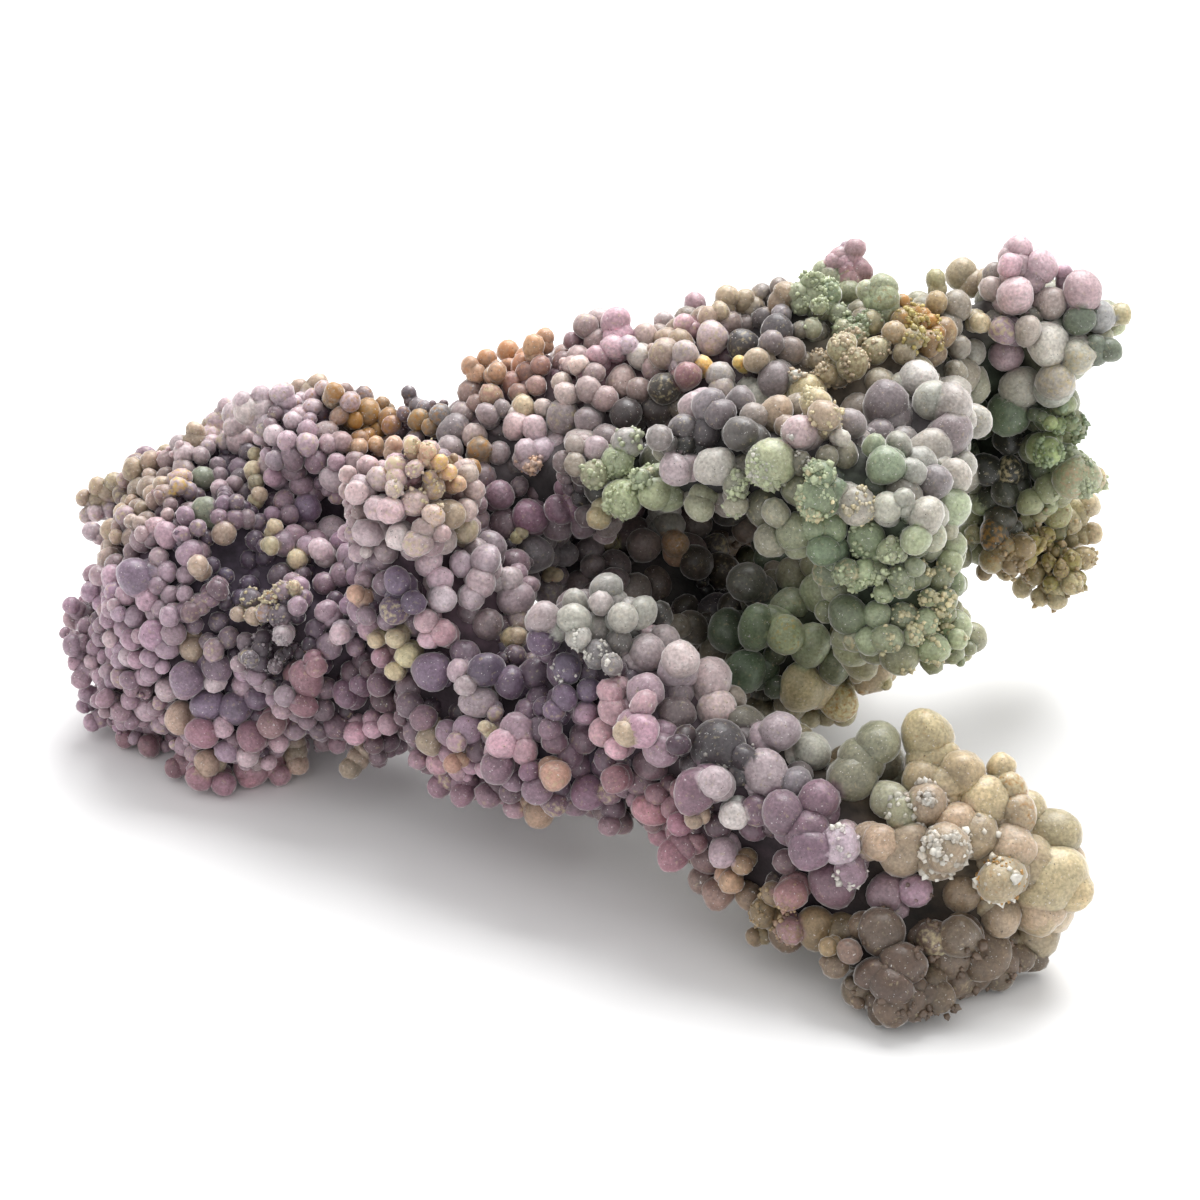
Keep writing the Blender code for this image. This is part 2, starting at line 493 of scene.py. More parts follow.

# Zones of growth: pixel, reach in pixels, colour of the tips, colour below them, usual radius in mm
# The colour below the tips is partly the deeper grapes' own colour and partly painted shade of the gaps
# between them
ZONES = {
    "head_left": (105, 640, 60, BRIGHT_LILAC, MAUVE, 0.95),
    "head_left_low": (110, 710, 50, LILAC, MAUVE, 0.95),
    "head_low": (220, 720, 60, BRIGHT_LILAC, VIOLET, 1.05),
    "head_foot": (270, 765, 40, PALE_PINK, MAUVE, 1.05),
    "head_upper": (120, 500, 50, BEIGE, MAUVE, 0.95),
    "head_side": (140, 575, 40, BRIGHT_LILAC, VIOLET, 1.05),
    "head_top": (270, 400, 50, PALE_LILAC, MAUVE, 0.95),
    "head_brow": (230, 440, 50, PALE_LILAC, PURPLE, 1.0),
    "valley_top": (215, 500, 35, LILAC, PURPLE, 1.0),
    "valley": (240, 570, 45, GREY_LILAC, VIOLET, 0.95),
    "valley_low": (270, 640, 45, GREY_LILAC, PLUM, 0.9),
    "head_neck": (300, 500, 40, LILAC, PURPLE, 1.1),
    "nose": (400, 500, 50, PALE_ROSE, ROSE, 1.1),
    "nose_top": (400, 455, 35, PINK, ROSE, 0.95),
    "nose_right": (450, 480, 30, BEIGE, SAND, 0.95),
    "golden_patch": (370, 415, 25, OCHRE, SAND, 1.0),
    "neck": (420, 410, 40, GREY_LILAC, MAUVE, 1.05),
    "centre_left": (330, 590, 55, BRIGHT_LILAC, PURPLE, 1.1),
    "centre_hollow": (400, 590, 35, VIOLET, PURPLE, 1.15),
    "centre": (470, 600, 45, PALE_LILAC, MAUVE, 1.3),
    "centre_dip": (500, 660, 40, PURPLE, PLUM, 1.35),
    "centre_low": (360, 710, 50, WINE, PLUM, 1.1),
    "belly": (450, 740, 50, LILAC, PLUM, 1.3),
    "belly_low": (470, 785, 40, PINK, PLUM, 1.2),
    "belly_end": (570, 760, 45, MAUVE, PURPLE, 1.4),
    "orange_ridge": (505, 355, 35, ORANGE, ROSE, 1.0),
    "ridge_left": (600, 335, 45, PALE_ROSE, ROSE, 1.15),
    "ridge_middle": (700, 320, 45, BEIGE, MAUVE, 1.2),
    "ridge_right": (770, 320, 40, GREY_LILAC, SLATE, 1.3),
    # Painted shade: charcoal and black grapes in the groove under the ridge
    "groove": (640, 415, 40, SHADE_CHARCOAL, SHADOW_BLACK, 1.4),
    "arm_left": (530, 440, 45, PALE_ROSE, GREY_LILAC, 1.15),
    "arm_left_low": (540, 500, 40, MAUVE, SLATE, 1.35),
    # Painted shade: charcoal below the tips under the arm
    "arm_under": (560, 550, 35, GREY_LILAC, SHADE_CHARCOAL, 1.35),
    "arm_middle": (700, 400, 45, GREY_LILAC, SHADE_CHARCOAL, 1.35),
    "arm_druse": (630, 480, 35, PALE_GREEN, TEAL, 1.35),
    "arm_green": (760, 480, 45, LICHEN, SLATE, 1.45),
    "brow": (700, 500, 35, SILVER, SLATE, 1.35),
    "brow_right": (830, 505, 35, PALE_GREEN, TEAL, 1.4),
    "crust_top": (822, 300, 30, PALE_GREEN, LICHEN, 1.1),
    "crust_beige": (835, 345, 35, CREAM, BEIGE, 1.4),
    "arm_right": (800, 400, 40, BEIGE, GREY_LILAC, 1.5),
    "arm_far": (870, 400, 40, GREY_LILAC, SLATE, 1.6),
    "arm_end": (945, 410, 40, SILVER, GREY_LILAC, 1.75),
    "arm_end_low": (950, 480, 40, SILVER, JADE, 1.7),
    "arm_lip": (975, 530, 30, PALE_GREEN, MOSS, 1.3),
    "ochre_patch": (925, 310, 30, OCHRE, BROWN, 0.95),
    "saddle": (885, 300, 25, PALE_GREEN, OCHRE, 1.3),
    # Painted shadow: black and umber grapes in the hollow under the arm
    "hollow": (650, 600, 45, SHADOW_BLACK, SHADOW_BLACK, 1.5),
    "hollow_right": (720, 590, 30, UMBER, SHADOW_BLACK, 1.6),
    "web": (760, 620, 45, PALE_GREEN, JADE, 1.75),
    "web_top": (830, 560, 40, JADE, TEAL, 1.45),
    "web_right": (890, 600, 45, PALE_GREEN, TEAL, 1.2),
    "web_low": (840, 690, 40, CREAM, MOSS, 1.8),
    "web_foot": (770, 690, 35, TEAL, UMBER, 1.9),
    "toe": (960, 625, 40, PALE_GREEN, LEAF, 1.2),
    # Painted shadow: black grapes in the recess behind the arm's end
    "recess": (1000, 450, 35, SHADOW_BLACK, SHADOW_BLACK, 1.5),
    "horn": (1030, 270, 40, PALE_PINK, LILAC, 1.5),
    "horn_right": (1095, 315, 35, SILVER, JADE, 1.6),
    "horn_tip": (1120, 330, 25, PALE_GREEN, MOSS, 1.2),
    "horn_face": (1040, 360, 40, SILVER, LICHEN, 1.9),
    "horn_back": (1000, 340, 30, GREY_LILAC, PLUM, 1.5),
    "curtain": (1060, 440, 35, LEAF, JADE, 1.2),
    "curtain_right": (1080, 485, 35, PALE_GREEN, LEAF, 1.4),
    "curtain_foot": (1060, 560, 40, OLIVE, MOSS, 1.0),
    "spine_start": (600, 610, 40, SILVER, GREY_LILAC, 1.45),
    "spine_ridge": (680, 660, 35, SILVER, LILAC, 1.65),
    "spine_violet": (560, 680, 40, VIOLET, PURPLE, 1.4),
    "spine_pink": (630, 730, 35, PINK, MAUVE, 1.25),
    # Painted shadow: black below the tips in the dark dip of the spine
    "spine_dark": (680, 740, 30, PLUM, SHADOW_BLACK, 1.4),
    "spine_slate": (725, 750, 30, SLATE, PURPLE, 1.9),
    "arm_low": (670, 820, 40, ROSE, WINE, 1.3),
    "arm_mauve": (740, 830, 40, MAUVE, PLUM, 1.5),
    "arm_purple": (820, 860, 45, MAUVE, PLUM, 1.9),
    "arm_grey": (800, 780, 40, GREY_LILAC, SHADE_CHARCOAL, 1.8),
    "arm_green_grey": (870, 740, 40, JADE, SAND, 1.9),
    "arm_foot": (790, 920, 35, SAND, PLUM, 1.4),
    "arm_glassy": (925, 825, 35, BEIGE, SAND, 1.6),
    "arm_cream": (970, 770, 45, CREAM, BEIGE, 2.2),
    "arm_tip": (1050, 850, 45, HONEY, SAND, 2.5),
    # Painted shadow: umber and black grapes in the crack under the lower arm's tip
    "arm_crack": (920, 930, 30, UMBER, SHADOW_BLACK, 1.6),
    "matrix": (960, 965, 40, BEIGE, BROWN, 2.4),
    "matrix_tip": (890, 1000, 35, BROWN, UMBER, 1.7),
}

# Hollows of the growth: pixel, reach in pixels, how many mm it stands back
HOLLOWS = {
    "groove": (640, 415, 38, 3.6),
    "groove_left": (590, 400, 20, 1.8),
    "arm_dip": (700, 430, 26, 2.4),
    "arm_shadow": (560, 505, 30, 1.8),
    "hollow": (660, 600, 45, 2.5),
    "recess": (1000, 450, 42, 4.5),
    "recess_low": (1000, 510, 26, 3.0),
    "arm_gap": (860, 470, 22, 2.2),
    "valley": (235, 560, 34, 1.8),
    "valley_low": (290, 645, 28, 2.2),
    "centre_dip": (400, 600, 24, 1.8),
    "centre_dark": (500, 650, 24, 1.6),
    "belly_dark": (430, 700, 24, 1.8),
    "belly_shadow": (350, 715, 26, 1.6),
    "under_nose": (455, 550, 20, 1.6),
    "spine_dark": (690, 740, 22, 2.0),
    "web_dark": (745, 700, 22, 1.8),
    "arm_crack": (905, 928, 24, 1.8),
}

# Zones that the photograph doesn't show: place in mm, reach in mm, and the rest as above
HIDDEN_ZONES = {
    "head_back": ((-36.0, 30.0, 16.0), 9.0, LILAC, PURPLE, 1.35),
    "neck_back": ((-12.0, 28.0, 20.0), 9.0, MAUVE, PLUM, 1.5),
    "arm_back": ((10.0, 32.0, 26.0), 10.0, GREY_LILAC, SLATE, 1.75),
    "heel": ((14.0, 30.0, 8.0), 9.0, SAND, BROWN, 1.95),
    "lobe_back": ((40.0, 33.0, 26.0), 10.0, PALE_GREEN, TEAL, 1.95),
    "arm_beneath": ((24.0, -14.0, 6.0), 7.0, SAND, UMBER, 1.9),
}

# Grapes that can be told apart in the photograph: colour, then pixel and width in mm of each
LANDMARKS = {
    "head_lilac": (LILAC, (
        (126, 516, 2.1), (190, 554, 2.7), (153, 635, 2.6), (169, 616, 2.0), (167, 648, 2.2),
        (131, 640, 2.0), (273, 477, 1.9), (326, 611, 2.2), (184, 690, 1.9), (228, 751, 2.3),
        (161, 724, 2.0))),
    "head_deep": (VIOLET, (
        (138, 579, 3.4), (307, 508, 2.6), (186, 679, 3.2), (217, 667, 2.7), (236, 709, 3.0),
        (258, 698, 2.4), (207, 705, 3.1))),
    "head_pale": (PALE_LILAC, (
        (333, 480, 2.5), (331, 531, 2.9), (321, 550, 2.2), (167, 690, 2.2), (147, 707, 2.6),
        (111, 639, 1.8), (128, 657, 1.9), (340, 634, 2.1), (283, 635, 1.8), (215, 682, 2.0))),
    "head_beige": (BEIGE, (
        (224, 533, 2.2), (198, 566, 2.0), (192, 648, 2.6), (238, 614, 1.6), (254, 616, 1.8),
        (298, 764, 2.2), (180, 717, 2.7), (207, 763, 2.5))),
    "head_green": (JADE, ((206, 510, 2.7), (203, 478, 2.1))),
    "pale_stalk": (CREAM, (
        (253, 469, 1.6), (256, 482, 1.6), (259, 495, 1.6), (297, 559, 1.9), (294, 586, 1.2),
        (255, 454, 1.4), (275, 527, 1.6), (271, 546, 1.6))),
    "head_pink": (ROSE, (
        (303, 705, 2.3), (251, 736, 2.7), (272, 724, 2.7), (270, 763, 3.4), (253, 776, 3.4),
        (203, 734, 2.8), (316, 667, 1.9), (307, 680, 3.2))),
    "mauve_chain": (MAUVE, ((190, 612, 2.0), (200, 605, 2.1), (210, 598, 2.0), (218, 590, 1.8))),
    "head_outline": (BEIGE, (
        (84, 498, 1.7), (98, 487, 2.0), (115, 482, 2.0), (133, 469, 2.0), (150, 461, 2.0), (166, 454, 2.1),
        (195, 431, 2.1), (212, 424, 2.0), (300, 389, 2.1), (318, 385, 2.3), (334, 393, 2.0))),
    "head_outline_lilac": (PALE_LILAC, (
        (180, 444, 1.9), (228, 407, 2.2), (243, 402, 2.1), (262, 397, 2.1), (282, 393, 2.2),
        (350, 402, 2.0), (88, 515, 1.8), (92, 532, 1.9))),
    "left_edge": (LILAC, (
        (72, 606, 1.9), (72, 620, 1.8), (65, 633, 1.2), (73, 646, 1.9), (76, 662, 1.8), (82, 678, 1.9),
        (88, 694, 1.9), (84, 706, 1.5), (92, 722, 1.9), (93, 574, 2.1), (91, 591, 2.0))),
    "crown": (PALE_GREEN, (
        (824, 272, 2.3), (812, 283, 2.3), (838, 282, 2.5), (800, 293, 2.1), (848, 293, 2.3),
        (826, 293, 2.7), (868, 291, 2.2), (883, 287, 2.6))),
    "head_top_fill": (PALE_LILAC, (
        (235, 415, 2.6), (248, 410, 2.6), (222, 425, 2.6), (262, 408, 2.6), (240, 428, 2.6),
        (212, 436, 2.4))),
    "gap_web": (TEAL, ((759, 553, 3.2), (766, 543, 2.8), (750, 562, 3.0), (770, 558, 2.8))),
    "gap_purple": (PURPLE, ((527, 640, 2.8), (534, 655, 2.8), (519, 650, 2.6), (541, 641, 2.4))),
    # Painted shadow: black grapes that fill the recess behind the arm's end
    "recess_painted_shadow": (SHADOW_BLACK, (
        (1000, 520, 3.2), (990, 500, 3.0), (1006, 492, 3.0), (994, 535, 2.8), (985, 470, 2.8),
        (1010, 470, 2.8), (1008, 440, 2.8))),
    "foot_bridge": (SAND, (
        (992, 560, 2.4), (1003, 548, 2.6), (984, 572, 1.8), (1012, 562, 2.6), (1022, 548, 2.6),
        (1035, 572, 2.6))),
    "tip_fill": (BEIGE, (
        (905, 850, 4.2), (925, 805, 4.0), (880, 842, 3.2), (955, 825, 4.0), (975, 835, 4.0),
        (1018, 815, 3.6), (1000, 915, 3.4), (1040, 905, 4.4))),
    "curtain_edge": (CREAM, (
        (1093, 478, 2.6), (1088, 505, 2.6), (1092, 533, 2.2), (1084, 558, 2.4), (1072, 583, 2.2),
        (1057, 600, 2.2), (1040, 597, 2.0), (1022, 587, 2.0), (1006, 572, 2.0))),
    "nose_crest": (PEACH, (
        (359, 447, 1.7), (376, 444, 1.6), (394, 445, 1.7), (412, 446, 1.5), (428, 452, 1.6),
        (439, 462, 1.5), (449, 472, 1.5), (458, 484, 1.6))),
    "nose_grapes": (PALE_LILAC, (
        (391, 510, 2.4), (398, 537, 2.4), (368, 533, 2.4), (366, 552, 1.2), (376, 508, 2.3),
        (357, 492, 2.2))),
    "nose_grey": (BEIGE, ((449, 514, 2.9), (465, 530, 2.6))),
    "orange_stalk": (SAND, (
        (479, 449, 2.3), (472, 468, 1.9), (454, 458, 0.9), (368, 412, 2.3), (383, 405, 1.7),
        (418, 420, 2.1), (430, 427, 1.7))),
    "orange_ridge": (PEACH, (
        (470, 366, 2.0), (487, 359, 2.0), (508, 351, 2.2), (533, 347, 2.1), (545, 337, 1.8),
        (497, 372, 1.9))),
    "neck_grey": (GREY_LILAC, (
        (453, 430, 2.7), (487, 414, 2.0), (502, 408, 1.8), (364, 396, 1.9), (409, 393, 1.5),
        (563, 416, 3.1), (588, 421, 2.6))),
    "arm_start": (PALE_LILAC, (
        (535, 428, 2.3), (556, 445, 2.2), (527, 452, 2.3), (542, 450, 2.4), (531, 464, 2.1),
        (596, 449, 2.6))),
    "arm_spotted": (CREAM, (
        (523, 407, 2.3), (598, 517, 2.4), (607, 540, 1.9), (521, 533, 1.3), (556, 575, 1.4),
        (552, 594, 1.5))),
    "arm_shade": (MAUVE, ((500, 495, 2.8), (529, 517, 3.1), (560, 510, 2.9))),
    "slate_row": (GREY_LILAC, ((590, 550, 2.5), (565, 554, 2.5), (531, 554, 3.9), (491, 546, 2.7))),
    "centre_pair": (PALE_LILAC, (
        (428, 561, 2.5), (412, 566, 2.4), (439, 579, 2.5), (442, 598, 2.5), (485, 560, 2.8),
        (481, 582, 2.9), (472, 596, 2.3), (510, 579, 2.3), (515, 598, 3.2))),
    "centre_violet": (VIOLET, (
        (397, 581, 2.5), (413, 603, 2.4), (395, 610, 2.6), (486, 669, 3.0), (432, 671, 3.3),
        (510, 682, 2.8))),
    "peach_single": (PEACH, (
        (356, 594, 1.9), (555, 776, 2.7), (453, 763, 1.7), (731, 882, 2.4), (540, 811, 2.8))),
    "cream_cluster": (CREAM, (
        (376, 640, 1.6), (396, 638, 1.9), (407, 655, 2.2), (394, 671, 1.7), (485, 727, 1.3),
        (518, 636, 1.7))),
    "pink_cluster": (PINK, (
        (382, 657, 2.0), (426, 621, 2.2), (443, 633, 2.4), (428, 640, 1.7), (518, 730, 2.8),
        (524, 751, 2.4), (503, 744, 3.0))),
    "silver_chain": (PALE_LILAC, ((459, 671, 2.2), (465, 686, 1.9), (478, 702, 2.8), (495, 713, 1.6))),
    "lilac_chain": (PINK, ((338, 744, 1.9), (355, 732, 2.4), (373, 728, 1.9), (388, 724, 2.1))),
    "mauve_pairs": (MAUVE, (
        (360, 684, 1.8), (380, 684, 2.4), (345, 694, 2.4), (497, 768, 3.2), (463, 793, 2.3),
        (440, 786, 2.4), (489, 795, 2.4))),
    "beige_crown": (BEIGE, ((430, 740, 2.8), (351, 767, 2.1), (694, 819, 1.7))),
    "silver_heads": (SILVER, (
        (543, 619, 2.9), (574, 619, 2.8), (607, 589, 3.1), (642, 613, 2.6), (623, 618, 2.7),
        (578, 637, 2.0), (540, 621, 2.8), (575, 603, 2.4))),
    "spine_silver": (PALE_LILAC, (
        (646, 654, 3.4), (663, 642, 2.9), (680, 660, 3.4), (711, 681, 3.7), (717, 709, 3.4))),
    "pink_raspberry": (PINK, (
        (611, 694, 2.3), (614, 710, 2.8), (604, 732, 2.5), (642, 731, 3.1), (617, 748, 2.0))),
    "raspberry_tip": (CREAM, ((626, 734, 2.2),)),
    "lilac_side": (LILAC, ((661, 750, 2.9), (644, 692, 3.2), (586, 713, 2.3))),
    "slate_ball": (SLATE, ((719, 748, 4.6), (744, 760, 3.0))),
    "arm_pale": (PALE_LILAC, (
        (715, 782, 2.8), (765, 773, 3.9), (780, 731, 3.4), (839, 844, 3.5), (723, 852, 2.6))),
    "arm_silver": (WHITE, ((810, 753, 3.6), (733, 816, 2.5))),
    "arm_rose": (ROSE, (
        (653, 809, 2.9), (673, 857, 2.7), (661, 834, 2.2), (791, 895, 2.9), (615, 780, 2.5),
        (790, 930, 2.4))),
    "arm_big_mauve": (MAUVE, (
        (832, 884, 4.2), (818, 799, 3.6), (694, 792, 3.8), (784, 813, 3.7), (812, 850, 3.9),
        (589, 792, 3.2))),
    "arm_beige_low": (SAND, (
        (818, 928, 3.4), (828, 947, 1.8), (763, 914, 2.3), (755, 937, 1.8), (742, 865, 2.0))),
    "ridge_pinks": (PINK, (
        (616, 322, 3.0), (695, 304, 2.3), (684, 324, 2.1), (614, 347, 2.2), (597, 356, 2.3),
        (834, 262, 1.9))),
    "ridge_rose": (ROSE, ((858, 271, 2.8), (687, 375, 2.5))),
    "ridge_tip": (PINK, ((855, 249, 2.1),)),
    "ridge_beige": (BEIGE, (
        (727, 297, 2.3), (744, 301, 2.3), (786, 293, 2.5), (756, 360, 2.5), (825, 415, 3.1),
        (777, 414, 2.9))),
    "ridge_pale": (PALE_LILAC, (
        (685, 355, 2.6), (628, 345, 1.9), (712, 338, 3.2), (664, 322, 2.0), (706, 402, 2.7),
        (695, 408, 3.0), (799, 433, 3.1), (676, 469, 3.1))),
    "ridge_silver": (SILVER, (
        (642, 356, 2.6), (721, 389, 2.3), (719, 375, 2.4), (627, 442, 2.8), (716, 467, 3.6))),
    "ridge_yellow": (YELLOW, ((702, 365, 2.0), (739, 362, 1.3))),
    "arm_slate": (SLATE, ((777, 331, 3.0), (743, 345, 3.0), (741, 433, 3.2), (731, 509, 3.0))),
    # Painted shade: charcoal grapes in the groove under the ridge
    "groove_painted_shade": (SHADE_CHARCOAL, ((626, 414, 3.0), (656, 412, 3.1), (664, 389, 2.9))),
    "white_single": (WHITE, ((754, 398, 2.8), (796, 377, 1.5), (842, 438, 1.5))),
    "cream_lump": (CREAM, ((806, 394, 3.5), (816, 403, 2.6))),
    "arm_grey_right": (GREY_LILAC, (
        (775, 379, 3.0), (885, 404, 4.1), (850, 423, 2.8), (934, 482, 3.1), (949, 435, 3.9))),
    "green_druse_grapes": (PALE_GREEN, (
        (622, 498, 3.6), (655, 494, 3.0), (617, 462, 2.8), (771, 465, 4.1), (699, 507, 2.5))),
    "jade_grapes": (JADE, (
        (817, 500, 3.3), (797, 551, 2.7), (824, 551, 2.9), (757, 627, 3.6), (819, 475, 2.5),
        (886, 465, 3.4), (874, 446, 2.1))),
    "brow_silver": (SILVER, (
        (664, 513, 3.0), (669, 525, 2.9), (857, 505, 3.3), (888, 507, 2.7), (903, 499, 1.9))),
    "brow_golden": (PEACH, ((675, 543, 2.6),)),
    "pale_greens": (PALE_GREEN, ((773, 553, 3.0), (822, 591, 4.0), (811, 646, 3.8), (786, 633, 3.5))),
    "dark_greens": (TEAL, ((728, 631, 3.7), (835, 666, 3.0), (847, 614, 3.3), (747, 671, 4.2))),
    # Painted shade: dark slate grapes in the hollow under the arm
    "hollow_painted_shade": (SLATE, ((715, 549, 3.0), (747, 583, 3.6), (717, 610, 3.1))),
    "cream_greens": (CREAM, ((802, 687, 4.0), (840, 702, 3.6))),
    "arm_end_bright": (WHITE, ((918, 379, 3.4),)),
    "arm_end_silver": (SILVER, (
        (953, 392, 3.3), (950, 405, 4.0), (928, 452, 3.9), (962, 476, 3.4), (966, 419, 2.1))),
    "horn_pinks": (PALE_PINK, ((1018, 249, 2.8), (1041, 268, 3.4), (1010, 266, 2.6), (1016, 296, 3.5))),
    "horn_lilac": (LILAC, ((1083, 291, 3.7), (1064, 273, 1.9), (1006, 354, 3.3), (1004, 331, 2.8))),
    "horn_silver": (WHITE, ((1048, 345, 4.0), (1100, 316, 3.1))),
    "horn_grey": (SILVER, ((1078, 357, 3.3), (1056, 381, 3.4), (1021, 386, 4.1))),
    "horn_slate": (TEAL, ((1008, 414, 4.1), (1108, 350, 2.6), (1079, 320, 3.1))),
    "horn_point": (CREAM, ((1121, 314, 2.0), (980, 323, 2.1), (936, 280, 1.9))),
    "horn_beige": (BEIGE, ((962, 274, 3.1), (894, 333, 2.4))),
    "saddle_green": (PALE_GREEN, ((882, 297, 3.1), (949, 507, 3.5), (981, 505, 2.1), (1077, 476, 4.0))),
    "tip_creams": (HONEY, (
        (984, 801, 4.2), (1053, 837, 4.7), (928, 737, 4.3), (1047, 880, 5.8), (1002, 767, 2.6),
        (960, 775, 4.0), (1030, 862, 4.6), (1062, 862, 3.6), (1070, 890, 3.4), (1028, 812, 3.4),
        (1010, 790, 3.0), (1040, 910, 4.4))),
    "tip_greens": (LICHEN, ((890, 800, 3.0), (901, 812, 2.7), (878, 745, 4.2), (885, 765, 4.0))),
    "tip_beige": (BEIGE, ((1010, 850, 4.4), (1035, 935, 4.0), (1000, 880, 4.0), (945, 850, 4.0))),
    "tip_mauve": (LILAC, ((887, 893, 3.5), (915, 890, 3.0), (850, 870, 3.0))),
    "matrix_lumps": (BROWN, (
        (985, 950, 4.6), (962, 940, 3.6), (1002, 962, 3.4), (940, 975, 4.2), (958, 990, 3.4),
        (922, 985, 3.6), (905, 965, 3.8), (890, 985, 3.4), (893, 1005, 3.0), (880, 1022, 2.2),
        (1015, 945, 3.8), (930, 940, 3.6), (950, 955, 3.8), (912, 1002, 3.0), (975, 970, 3.6),
        (998, 980, 3.0), (1030, 955, 3.0), (875, 975, 2.8), (940, 1000, 3.0))),
    "low_edge": (ROSE, (
        (150, 757, 2.2), (175, 768, 2.2), (200, 778, 2.4), (224, 790, 2.4), (250, 792, 2.4),
        (280, 788, 2.2), (126, 745, 2.0))),
}

# Dust and stains on the tips: pixel, reach in pixels, colour, share of a tip that is covered
STAINS = {
    "yellow_shoulder": (176, 472, 22, YELLOW, 0.85),
    "beige_edge": (110, 480, 40, CREAM, 0.45),
    "side_cream": (105, 535, 25, CREAM, 0.5),
    "valley_yellow": (262, 590, 18, OCHRE, 0.8),
    "valley_crust": (213, 626, 22, CREAM, 0.7),
    "head_crown": (330, 385, 35, OCHRE, 0.6),
    "head_rim": (230, 410, 40, CREAM, 0.4),
    "golden_patch": (375, 412, 28, OCHRE, 0.9),
    "neck_gold": (420, 420, 20, OCHRE, 0.6),
    "nose_crown": (410, 450, 45, CREAM, 0.6),
    "nose_dust": (440, 480, 30, YELLOW, 0.55),
    "orange_stalk": (475, 455, 22, OCHRE, 0.9),
    "orange_ridge": (505, 352, 45, ORANGE, 0.85),
    "ridge_dust": (700, 325, 60, CREAM, 0.35),
    "arm_gold": (600, 520, 16, OCHRE, 0.8),
    "brow_gold": (675, 546, 14, OCHRE, 0.9),
    "ochre_patch": (925, 312, 32, OCHRE, 0.8),
    "beige_crust": (840, 350, 40, SAND, 0.6),
    "web_crust": (795, 625, 16, YELLOW, 0.7),
    "web_foot": (850, 710, 26, OCHRE, 0.6),
    "lip": (985, 545, 22, OCHRE, 0.6),
    "curtain_foot": (1070, 555, 40, SAND, 0.6),
    "curtain_edge": (1095, 485, 20, PEACH, 0.6),
    "tip_ochre": (1025, 795, 24, OCHRE, 0.7),
    "tip_ochre_left": (925, 755, 22, OCHRE, 0.5),
    "low_ochre": (1010, 905, 20, OCHRE, 0.6),
    "arm_foot": (770, 925, 35, SAND, 0.5),
}

# Sugary crusts of tiny crystals: pixel, reach in pixels, colour, crystal size in mm, how many
DRUSES = {
    "green_crown": (825, 295, 32, PALE_GREEN, 0.42, 420),
    "teal_crown": (860, 318, 20, JADE, 0.40, 200),
    "beige_crust": (840, 350, 42, BEIGE, 0.38, 420),
    "arm_druse": (620, 470, 30, PALE_GREEN, 0.42, 300),
    "green_line": (745, 482, 28, PALE_GREEN, 0.45, 260),
    "green_line_right": (800, 495, 30, PALE_GREEN, 0.45, 300),
    "green_tip": (842, 505, 18, CREAM, 0.42, 200),
    "arm_frost": (765, 462, 26, SILVER, 0.34, 220),
    "web_frost": (860, 575, 34, PALE_GREEN, 0.42, 320),
    "toe": (930, 620, 40, CREAM, 0.42, 320),
    "ochre_patch": (925, 312, 32, OLIVE, 0.42, 340),
    "curtain": (1070, 450, 38, JADE, 0.46, 440),
    "curtain_foot": (1055, 555, 48, SAND, 0.50, 560),
    "curtain_right": (1085, 490, 34, PALE_GREEN, 0.5, 360),
    "valley": (262, 590, 30, CREAM, 0.30, 220),
    "valley_low": (270, 650, 34, GREY_LILAC, 0.30, 220),
    "nose": (420, 475, 36, CREAM, 0.26, 240),
    "spine_glints": (580, 655, 30, WHITE, 0.34, 120),
    "slate_ball": (722, 735, 18, SILVER, 0.30, 130),
    "glassy": (960, 870, 28, WHITE, 0.60, 260),
    "glassy_left": (925, 820, 26, SILVER, 0.50, 180),
    "glassy_low": (850, 865, 14, WHITE, 0.45, 60),
    "arm_foot": (770, 925, 30, SAND, 0.34, 200),
    "matrix": (940, 975, 70, BROWN, 0.55, 560),
    "low_ochre": (1010, 905, 22, OCHRE, 0.34, 140),
    "cream_lump": (815, 395, 22, CREAM, 0.36, 180),
    "arm_chips": (536, 475, 14, PEACH, 0.36, 90),
}


def linear(colour):
    """Colour of the photograph as linear light."""
    share = np.asarray(colour, float) / 255.0
    return np.where(share <= 0.04045, share / 12.92, ((share + 0.055) / 1.055) ** 2.4)


def find_by_pixel(skin, u, v):
    """The place on the surface that shows at a pixel, or the one nearest to its ray."""
    ray = pixel_ray(u, v)
    hit = skin.tree.ray_cast(CAMERA_PLACE, ray)[0]
    if hit is not None:
        return hit
    steps = range(-RAY_REACH, RAY_REACH + 1)
    spots = [CAMERA_PLACE + ray * (CAMERA_DISTANCE + step) for step in steps]
    nearest = min((skin.tree.find_nearest(spot) for spot in spots), key=lambda found: found[3])
    return nearest[0]


def read_zones(skin):
    """The zones as arrays: places, reaches, colours and radii."""
    rows = []
    for u, v, reach, tip, deep, radius in ZONES.values():
        place = find_by_pixel(skin, u, v)
        rows.append((place, reach / pixel_scale(place), tip, deep, radius))
    rows += HIDDEN_ZONES.values()
    return {
        "places": np.array([np.array(row[0]) for row in rows]),
        "reaches": np.array([row[1] for row in rows]),
        "tips": np.array([linear(row[2]) for row in rows]),
        "deeps": np.array([linear(row[3]) for row in rows]),
        "radii": np.array([row[4] for row in rows]),
    }


def blend_zones(zones, places):
    """Each place's share of every zone, by nearness."""
    away = np.linalg.norm(places[:, None] - zones["places"][None], axis=2) / zones["reaches"]
    share = 1.0 / (ZONE_SOFTNESS + away**ZONE_POWER)
    return share / share.sum(axis=1)[:, None]


